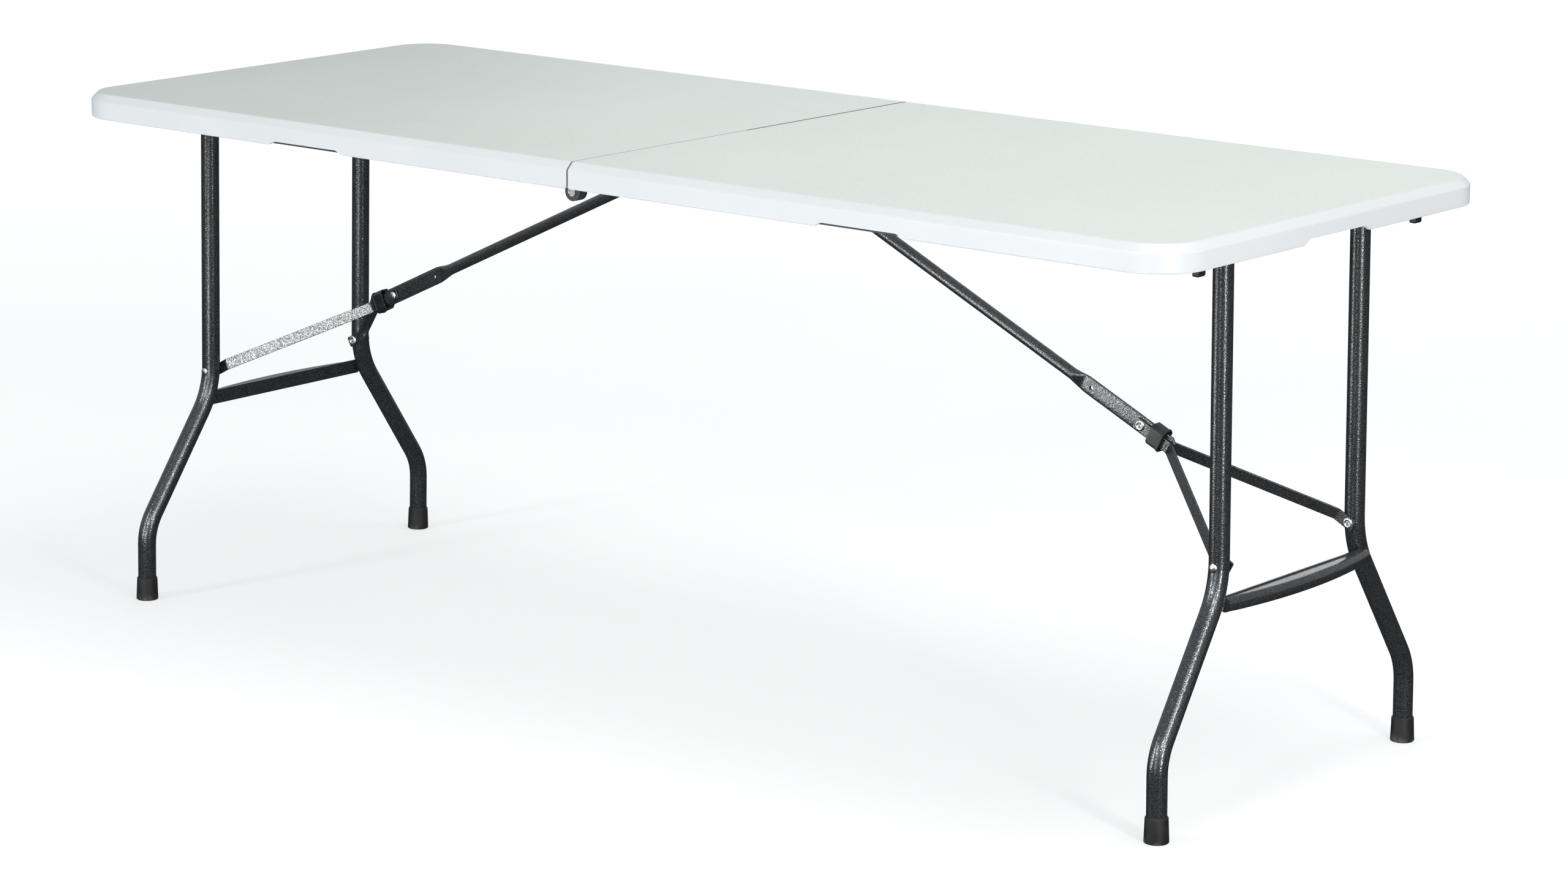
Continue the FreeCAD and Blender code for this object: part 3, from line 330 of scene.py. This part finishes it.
def skin(shape, rings, capped=True):
    """Quads between neighbouring rings of points, all of the same length; capped adds the ends."""
    loops = [[shape.verts.new(point) for point in ring] for ring in rings]
    for one, other in zip(loops, loops[1:]):
        for i in range(len(one)):
            j = (i + 1) % len(one)
            shape.faces.new((one[i], one[j], other[j], other[i]))
    if capped:
        shape.faces.new(loops[0])
        shape.faces.new(loops[-1])


def circle_angles(count):
    return [2 * math.pi * i / count for i in range(count)]


def eased_step(t):
    """Smooth rise from 0 to 1 as t goes from 0 to 1, and held outside that."""
    t = min(max(t, 0.0), 1.0)
    return t * t * (3 - 2 * t)


def cut_holes(piece, centres, radius, reach):
    """Round holes along Y through a piece, at the given centres."""
    shape = bmesh.new()
    for centre in centres:
        turn = Matrix.Translation(centre) @ Matrix.Rotation(math.radians(90), 4, "X")
        bmesh.ops.create_cone(shape, cap_ends=True, segments=HOLE_SEGMENTS, radius1=radius,
                              radius2=radius, depth=2 * reach, matrix=turn)
    mesh = bpy.data.meshes.new("hole_tool")
    shape.to_mesh(mesh)
    shape.free()
    tool = bpy.data.objects.new("hole_tool", mesh)
    bpy.context.scene.collection.objects.link(tool)
    cut = piece.modifiers.new("holes", "BOOLEAN")
    cut.operation, cut.solver, cut.object = "DIFFERENCE", "EXACT", tool
    bpy.context.view_layer.update()
    evaluated = piece.evaluated_get(bpy.context.evaluated_depsgraph_get())
    result = bpy.data.meshes.new_from_object(evaluated)
    shape = bmesh.new()
    shape.from_mesh(result)
    mark_edges(shape, SHARP_ANGLE)
    shape.to_mesh(result)
    shape.free()
    piece.modifiers.clear()
    piece.data = result
    bpy.data.objects.remove(tool)


# ---------------------------------------------------------------- brace tubes
BRACE_RADIUS = 0.0075
BRACE_SHEET = 0.0012
BRACE_PAST_PIVOT = 0.0085
FLAT_HALF_HEIGHT = 0.01125
FLAT_HALF_WIDTH = 0.0022
FLAT_BEFORE_KNEE = 0.090
FLAT_PAST_KNEE = 0.052
FLAT_CORNER = 0.006
NECK_LENGTH = 0.028
FLAT_CORNER_SLOPE = 0.9     # how fast the flat narrows over its last corner
WIDTH_LEAD = 1.15           # the width closes slightly sooner than the height grows
ROUND_POWER = 2.0           # exponent of the round section's outline
PRESSED_POWER = 1.5         # what pressing adds to that exponent
BORE_WALL = 0.004
RIVET_HOLE = 0.0031
NECK_HOLE = 0.0030
HOLE_REACH = 0.02
SECTION_POINTS = 64
TUBE_STEPS = 6
NECK_STEPS = 24
CORNER_STEPS = 4


def brace_section(distance, length):
    """Cross section of the tube at a distance from its pivot, as (across, upward) pairs."""
    flat_start = length - FLAT_BEFORE_KNEE
    flat_end = length + FLAT_PAST_KNEE
    pressed = eased_step((distance - flat_start + NECK_LENGTH) / NECK_LENGTH)
    height = BRACE_RADIUS + (FLAT_HALF_HEIGHT - BRACE_RADIUS) * pressed
    width = BRACE_RADIUS + (FLAT_HALF_WIDTH - BRACE_RADIUS) * eased_step(pressed * WIDTH_LEAD)
    height -= max(0.0, distance - (flat_end - FLAT_CORNER)) * FLAT_CORNER_SLOPE
    squareness = ROUND_POWER + PRESSED_POWER * pressed
    points = []
    for angle in circle_angles(SECTION_POINTS):
        across, upward = math.cos(angle), math.sin(angle)
        across = math.copysign(abs(across) ** (2 / squareness), across) * width
        upward = math.copysign(abs(upward) ** (2 / squareness), upward) * height
        points.append((across, upward))
    return points


def brace_tube(side):
    """Hollow round tube from its pivot to a neck, and pressed flat from there past the knee."""
    pivot, knee = pivots["brace_swing_" + side], pivots["knee_bend_" + side]
    length = (knee - pivot).length
    along = (knee - pivot).normalized()
    upward = along.cross(Vector((0, 1, 0))).normalized()
    if upward.z < 0:
        upward = -upward
    across = Vector((0, 1, 0))

    def ring(distance, section):
        return [pivot + along * distance + across * y + upward * z for y, z in section]

    neck_start = length - FLAT_BEFORE_KNEE - NECK_LENGTH
    flat_end = length + FLAT_PAST_KNEE
    tube_length = neck_start + BRACE_PAST_PIVOT
    flat_length = flat_end - FLAT_CORNER - length + FLAT_BEFORE_KNEE
    stops = [-BRACE_PAST_PIVOT + tube_length * i / TUBE_STEPS for i in range(TUBE_STEPS)]
    stops += [neck_start + NECK_LENGTH * i / NECK_STEPS for i in range(NECK_STEPS)]
    stops += [length - FLAT_BEFORE_KNEE + flat_length * i / TUBE_STEPS for i in range(TUBE_STEPS)]
    stops += [flat_end - FLAT_CORNER * (1 - i / CORNER_STEPS) for i in range(CORNER_STEPS + 1)]
    outside = [ring(stop, brace_section(stop, length)) for stop in stops]
    bore_depth = neck_start - BORE_WALL
    shrink = 1 - BRACE_SHEET / BRACE_RADIUS
    inner = [(y * shrink, z * shrink) for y, z in brace_section(0.0, length)]
    inside = [ring(bore_depth, inner), ring(-BRACE_PAST_PIVOT, inner)]
    shape = bmesh.new()
    skin(shape, inside + outside)
    piece = add_piece("brace_tube_shell_" + side, shape, "hammered_paint", "brace_" + side,
                      replaced=["brace_tube_" + side])
    cut_holes(piece, [pivot, knee], RIVET_HOLE, HOLE_REACH)
    neck_hole = pivot + along * (length - FLAT_BEFORE_KNEE + 2 * NECK_HOLE)
    cut_holes(piece, [neck_hole], NECK_HOLE, HOLE_REACH)


# ---------------------------------------------------------------- tubular rivets
KNEE_RIVET_SEAT = 0.0055    # centre plane to the outer face of an arm
ARM_SHEET = 0.0028
RIVET_SEGMENTS = 40
# (radius, height above the seat) from the rivet's shank to the middle of its end
ROLLED_END = ((0.0030, 0.0), (0.0066, 0.0), (0.0069, 0.0003), (0.0068, 0.0008), (0.0061, 0.0014),
              (0.0052, 0.0018), (0.0042, 0.0018), (0.0034, 0.0015), (0.0028, 0.0009),
              (0.0024, 0.0002), (0.0022, -0.0018), (0.0019, -0.0022), (0.0003, -0.0023))
DOMED_END = ((0.0030, 0.0), (0.0054, 0.0), (0.0055, 0.0003), (0.0053, 0.0007), (0.0046, 0.0011),
             (0.0036, 0.0014), (0.0024, 0.00165), (0.0012, 0.00175), (0.0003, 0.0018))
PLAIN_END = ((0.0030, 0.0), (0.0003, 0.0))


def tubular_rivet(shape, centre, low_end, low_seat, high_end, high_seat):
    """Rivet along Y: low_end stands on the -Y side of low_seat, high_end beyond high_seat."""
    profile = [(radius, low_seat - height) for radius, height in reversed(low_end)]
    profile += [(radius, high_seat + height) for radius, height in high_end]
    skin(shape, [[Vector((centre.x + radius * math.cos(a), y, centre.z + radius * math.sin(a)))
                  for a in circle_angles(RIVET_SEGMENTS)] for radius, y in profile])


def brace_rivets(side):
    """The knee's rivet, and the inner halves of the two rivets through the legs."""
    knee = bmesh.new()
    low_end, high_end = ROLLED_END, DOMED_END
    if side == "left":
        low_end, high_end = high_end, low_end
    tubular_rivet(knee, pivots["knee_bend_" + side], low_end, -KNEE_RIVET_SEAT,
                  high_end, KNEE_RIVET_SEAT)
    add_piece("knee_rivet_tubular_" + side, knee, "zinc", body_of("knee_rivet_" + side),
              replaced=["knee_rivet_" + side])
    low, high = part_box("arm_rivets_" + side)
    middle = (low + high) / 2
    arms = bmesh.new()
    tubular_rivet(arms, middle, ROLLED_END, high.y - ARM_SHEET, PLAIN_END, high.y)
    tubular_rivet(arms, middle, PLAIN_END, low.y, ROLLED_END, low.y + ARM_SHEET)
    add_piece("arm_rivets_tubular_" + side, arms, "zinc", body_of("arm_rivets_" + side),
              replaced=["arm_rivets_" + side])


# ---------------------------------------------------------------- weld beads
WELD_RADIUS = 0.0016
WELD_RIPPLE = 0.0021        # spacing of the ripples along a bead
WELD_STEP = 0.0006
WELD_RIPPLE_DEPTH = 0.16    # share of the bead's radius
WELD_UNEVENNESS = 0.06      # share of the bead's radius
WELD_END = 0.15             # how full a bead's ends are
WELD_SEGMENTS = 12
WELD_SHARP_ANGLE = 60.0     # degrees
WELD_CLEARANCE = 0.0006     # from the crossbar's faces to the beads along them
CROSSBAR_STEPS = 12
RAY_START = 0.04
PIVOT_WELD_STEPS = 36
PIVOT_WELD_START = 8        # the point that the bead's line starts at
LEG_RADIUS = 0.0125
LEG_TOP_Y = 0.150
LEG_STUB = 0.003            # the legs end this far above the pivot bar's axis


def resampled(points, step):
    """Points along a polyline, about a step apart."""
    spaced = []
    for start, end in zip(points, points[1:]):
        count = max(1, round((end - start).length / step))
        spaced += [start.lerp(end, i / count) for i in range(count)]
    return spaced + [points[-1]]


def weld_bead(shape, points, draw):
    """Rippled bead along a line of points; draw gives its uneven thickness."""
    line = resampled(points, WELD_STEP)
    rings = []
    for i, point in enumerate(line):
        before = line[i - 1] if i else point
        after = line[i + 1] if i < len(line) - 1 else point
        tangent = (after - before).normalized()
        if rings:
            side = (side - tangent * side.dot(tangent)).normalized()
        else:
            side = tangent.orthogonal().normalized()
        other = tangent.cross(side)
        ripple = 1 + WELD_RIPPLE_DEPTH * math.sin(2 * math.pi * i * WELD_STEP / WELD_RIPPLE)
        ripple += draw.uniform(-WELD_UNEVENNESS, WELD_UNEVENNESS)
        from_end = min(i, len(line) - 1 - i) * WELD_STEP / WELD_RADIUS
        taper = math.sqrt(min(1.0, WELD_END + from_end))
        radius = WELD_RADIUS * ripple * taper
        rings.append([point + (side * math.cos(a) + other * math.sin(a)) * radius
                      for a in circle_angles(WELD_SEGMENTS)])
    skin(shape, rings)


def crossbar_welds(shape, side, draw):
    """Upright beads between each end of the crossbar and the leg."""
    outward = 1 if side == "right" else -1
    low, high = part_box("crossbar_" + side)
    for end in ("near", "far"):
        leg = nodes["leg_" + end + "_" + side]
        y_sign = -1 if end == "near" else 1
        inner_x = (low.x if outward > 0 else high.x) + outward * WELD_CLEARANCE
        heights = [low.z + (high.z - low.z) * i / CROSSBAR_STEPS for i in range(1, CROSSBAR_STEPS)]
        inner_line, outer_line = [], []
        for z in heights:
            hit, place, _, _ = leg.ray_cast(Vector((inner_x, 0, z)), Vector((0, y_sign, 0)))
            if hit:
                inner_line.append(place)
            start = Vector((inner_x + outward * RAY_START, y_sign * (high.y + WELD_CLEARANCE), z))
            hit, place, _, _ = leg.ray_cast(start, Vector((-outward, 0, 0)))
            if hit:
                outer_line.append(place)
        for line in (inner_line, outer_line):
            if len(line) > 2:
                weld_bead(shape, line, draw)


def pivot_bar_welds(shape, side, draw):
    """A bead round the pivot bar on both faces of each leg's top.

    Above the leg's end, where there is nothing to weld, its line runs straight through the bar.
    """
    pivot = pivots["leg_fold_" + side]
    low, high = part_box("pivot_bar_" + side)
    bar_radius = (high.z - low.z) / 2
    for end in ("near", "far"):
        leg_y = (-1 if end == "near" else 1) * LEG_TOP_Y
        for face in (-1, 1):
            circle = []
            for angle in circle_angles(PIVOT_WELD_STEPS):
                x, z = bar_radius * math.cos(angle), bar_radius * math.sin(angle)
                if z > LEG_STUB:
                    continue
                y = leg_y + face * math.sqrt(LEG_RADIUS ** 2 - x ** 2)
                circle.append(pivot + Vector((x, y, z)))
            circle = circle[PIVOT_WELD_START:] + circle[:PIVOT_WELD_START]
            weld_bead(shape, circle, draw)


def leg_welds(side):
    draw = random.Random("welds " + side)
    shape = bmesh.new()
    crossbar_welds(shape, side, draw)
    pivot_bar_welds(shape, side, draw)
    add_piece("weld_beads_" + side, shape, "hammered_paint", "legs_" + side,
              sharp_angle=WELD_SHARP_ANGLE)


for table_side in SIDES:
    brace_tube(table_side)
    brace_rivets(table_side)
    leg_welds(table_side)


# ---------------------------------------------------------------- stage, light and camera
FLOOR_HALF = 60.0
BACKDROP_RADIUS = 50.0
BACKDROP_FOOT = -0.5
BACKDROP_HEIGHT = 45.0
BACKDROP_SEGMENTS = 96
HORIZON_SHIFT = 0.05
SKY_DARK_AT, SKY_PALE_AT = 0.02, 0.06
SKY_DARK = (0.035, 0.037, 0.04, 1)
SKY_PALE = (0.80, 0.83, 0.86, 1)
SKY_STRENGTH = 0.5


def make_floor():
    shape = bmesh.new()
    bmesh.ops.create_grid(shape, x_segments=8, y_segments=8, size=FLOOR_HALF)
    mesh = bpy.data.meshes.new("studio_floor")
    shape.to_mesh(mesh)
    shape.free()
    floor = bpy.data.objects.new("studio_floor", mesh)
    floor.data.materials.append(floor_material())
    bpy.context.scene.collection.objects.link(floor)
    floor.visible_glossy = False


def make_backdrop():
    """White cyclorama round the floor, seen by the camera only."""
    m = Nodes("studio_backdrop")
    mottle = m.noise(m.coordinates().outputs["Object"], scale=0.2, detail=2.0)
    m.to_shader(Base_Color=grey(0.0), Roughness=1.0, Emission_Color=WHITE_GLOW,
                Emission_Strength=m.ramp(mottle, 0.3, 0.7, 0.98, 1.0))
    shape = bmesh.new()
    skin(shape, [[Vector((BACKDROP_RADIUS * math.cos(a), BACKDROP_RADIUS * math.sin(a), z))
                  for a in circle_angles(BACKDROP_SEGMENTS)]
                 for z in (BACKDROP_FOOT, BACKDROP_HEIGHT)], capped=False)
    mesh = bpy.data.meshes.new("studio_backdrop")
    shape.to_mesh(mesh)
    shape.free()
    backdrop = bpy.data.objects.new("studio_backdrop", mesh)
    mesh.materials.append(m.material)
    bpy.context.scene.collection.objects.link(backdrop)
    backdrop.visible_diffuse = False
    backdrop.visible_glossy = False
    backdrop.visible_shadow = False


def softbox(name, place, target, size, power, colour=(1, 1, 1), diffuse=True):
    """Rectangular area light at place, facing target; without diffuse it only makes highlights."""
    light = bpy.data.lights.new(name, "AREA")
    light.shape = "RECTANGLE"
    light.size, light.size_y = size
    light.energy = power
    light.color = colour
    lamp = bpy.data.objects.new(name, light)
    lamp.location = place
    lamp.rotation_euler = (Vector(target) - Vector(place)).to_track_quat("-Z", "Y").to_euler()
    lamp.visible_camera = False
    lamp.visible_diffuse = diffuse
    bpy.context.scene.collection.objects.link(lamp)


def make_world():
    """Pale sky above the horizon, and a dim room below it for the steel to mirror."""
    world = bpy.data.worlds.new("studio")
    world.use_nodes = True
    tree = world.node_tree
    direction = tree.nodes.new("ShaderNodeTexCoord").outputs["Generated"]
    split = tree.nodes.new("ShaderNodeSeparateXYZ")
    ramp = tree.nodes.new("ShaderNodeValToRGB")
    ramp.color_ramp.elements[0].position = SKY_DARK_AT
    ramp.color_ramp.elements[0].color = SKY_DARK
    ramp.color_ramp.elements[1].position = SKY_PALE_AT
    ramp.color_ramp.elements[1].color = SKY_PALE
    shift = tree.nodes.new("ShaderNodeMath")
    shift.inputs[1].default_value = HORIZON_SHIFT
    tree.links.new(direction, split.inputs[0])
    tree.links.new(split.outputs["Z"], shift.inputs[0])
    tree.links.new(shift.outputs[0], ramp.inputs["Fac"])
    tree.links.new(ramp.outputs["Color"], tree.nodes["Background"].inputs["Color"])
    tree.nodes["Background"].inputs["Strength"].default_value = SKY_STRENGTH
    bpy.context.scene.world = world


def make_lights():
    make_world()
    softbox("key_right", (3.7, -1.5, 1.35), (0.3, 0, 0.4), (0.36, 2.6), 62, (1.0, 0.99, 0.97))
    softbox("fill_left", (-1.6, -3.6, 1.35), (0, 0, 0.4), (0.36, 2.6), 52, (0.97, 0.99, 1.0))
    softbox("front_strip", (1.2, -3.4, 0.9), (0, 0, 0.5), (0.5, 1.7), 14, (0.95, 0.98, 1.0))
    softbox("front_high", (2.9, -2.6, 2.15), (0.6, -0.2, 0.3), (0.9, 0.9), 30, diffuse=False)
    softbox("low_right", (2.14, -0.86, 0.40), (0.2, 0, 0.4), (0.2, 0.75), 2.4, diffuse=False)
    softbox("low_front", (-0.45, -1.35, 0.14), (0.3, 0, 0.4), (0.55, 0.28), 3.0, diffuse=False)
    softbox("arm_front", (0.45, -3.2, 1.60), (-0.75, -0.1, 0.35), (0.6, 0.6), 24, diffuse=False)
    softbox("overhead", (1.0, 0.2, 3.5), (0.5, 0, 0.5), (2.2, 1.8), 60)
    softbox("rear_sheen", (-2.3, 4.6, 1.7), (0.3, 0, 0.7), (3.4, 1.3), 14)


# The camera was placed so that the table stands as in the reference view.
CAMERA_PLACE = Vector((3.6489, -4.4669, 1.6152))
CAMERA_HEADING = 0.6758     # radians, from +Y towards -X
CAMERA_DIP = 0.2230         # radians below the horizon
CAMERA_ROLL = 0.0098        # radians
CAMERA_LENS = 103.13        # mm
CAMERA_SENSOR = 36.0        # mm wide
CAMERA_NEAR, CAMERA_FAR = 0.05, 200.0


def make_camera():
    data = bpy.data.cameras.new("camera")
    data.lens = CAMERA_LENS
    data.sensor_width = CAMERA_SENSOR
    data.clip_start, data.clip_end = CAMERA_NEAR, CAMERA_FAR
    camera = bpy.data.objects.new("camera", data)
    flat = math.cos(CAMERA_DIP)
    ahead = Vector((-math.sin(CAMERA_HEADING) * flat, math.cos(CAMERA_HEADING) * flat,
                    -math.sin(CAMERA_DIP)))
    right = ahead.cross(Vector((0, 0, 1))).normalized()
    up = right.cross(ahead)
    rolled_right = right * math.cos(CAMERA_ROLL) + up * math.sin(CAMERA_ROLL)
    rolled_up = up * math.cos(CAMERA_ROLL) - right * math.sin(CAMERA_ROLL)
    turn = Matrix((rolled_right, rolled_up, -ahead)).transposed()
    camera.matrix_world = Matrix.Translation(CAMERA_PLACE) @ turn.to_4x4()
    bpy.context.scene.collection.objects.link(camera)
    bpy.context.scene.camera = camera


make_floor()
make_backdrop()
make_lights()
make_camera()
bpy.context.scene.view_settings.view_transform = "Standard"
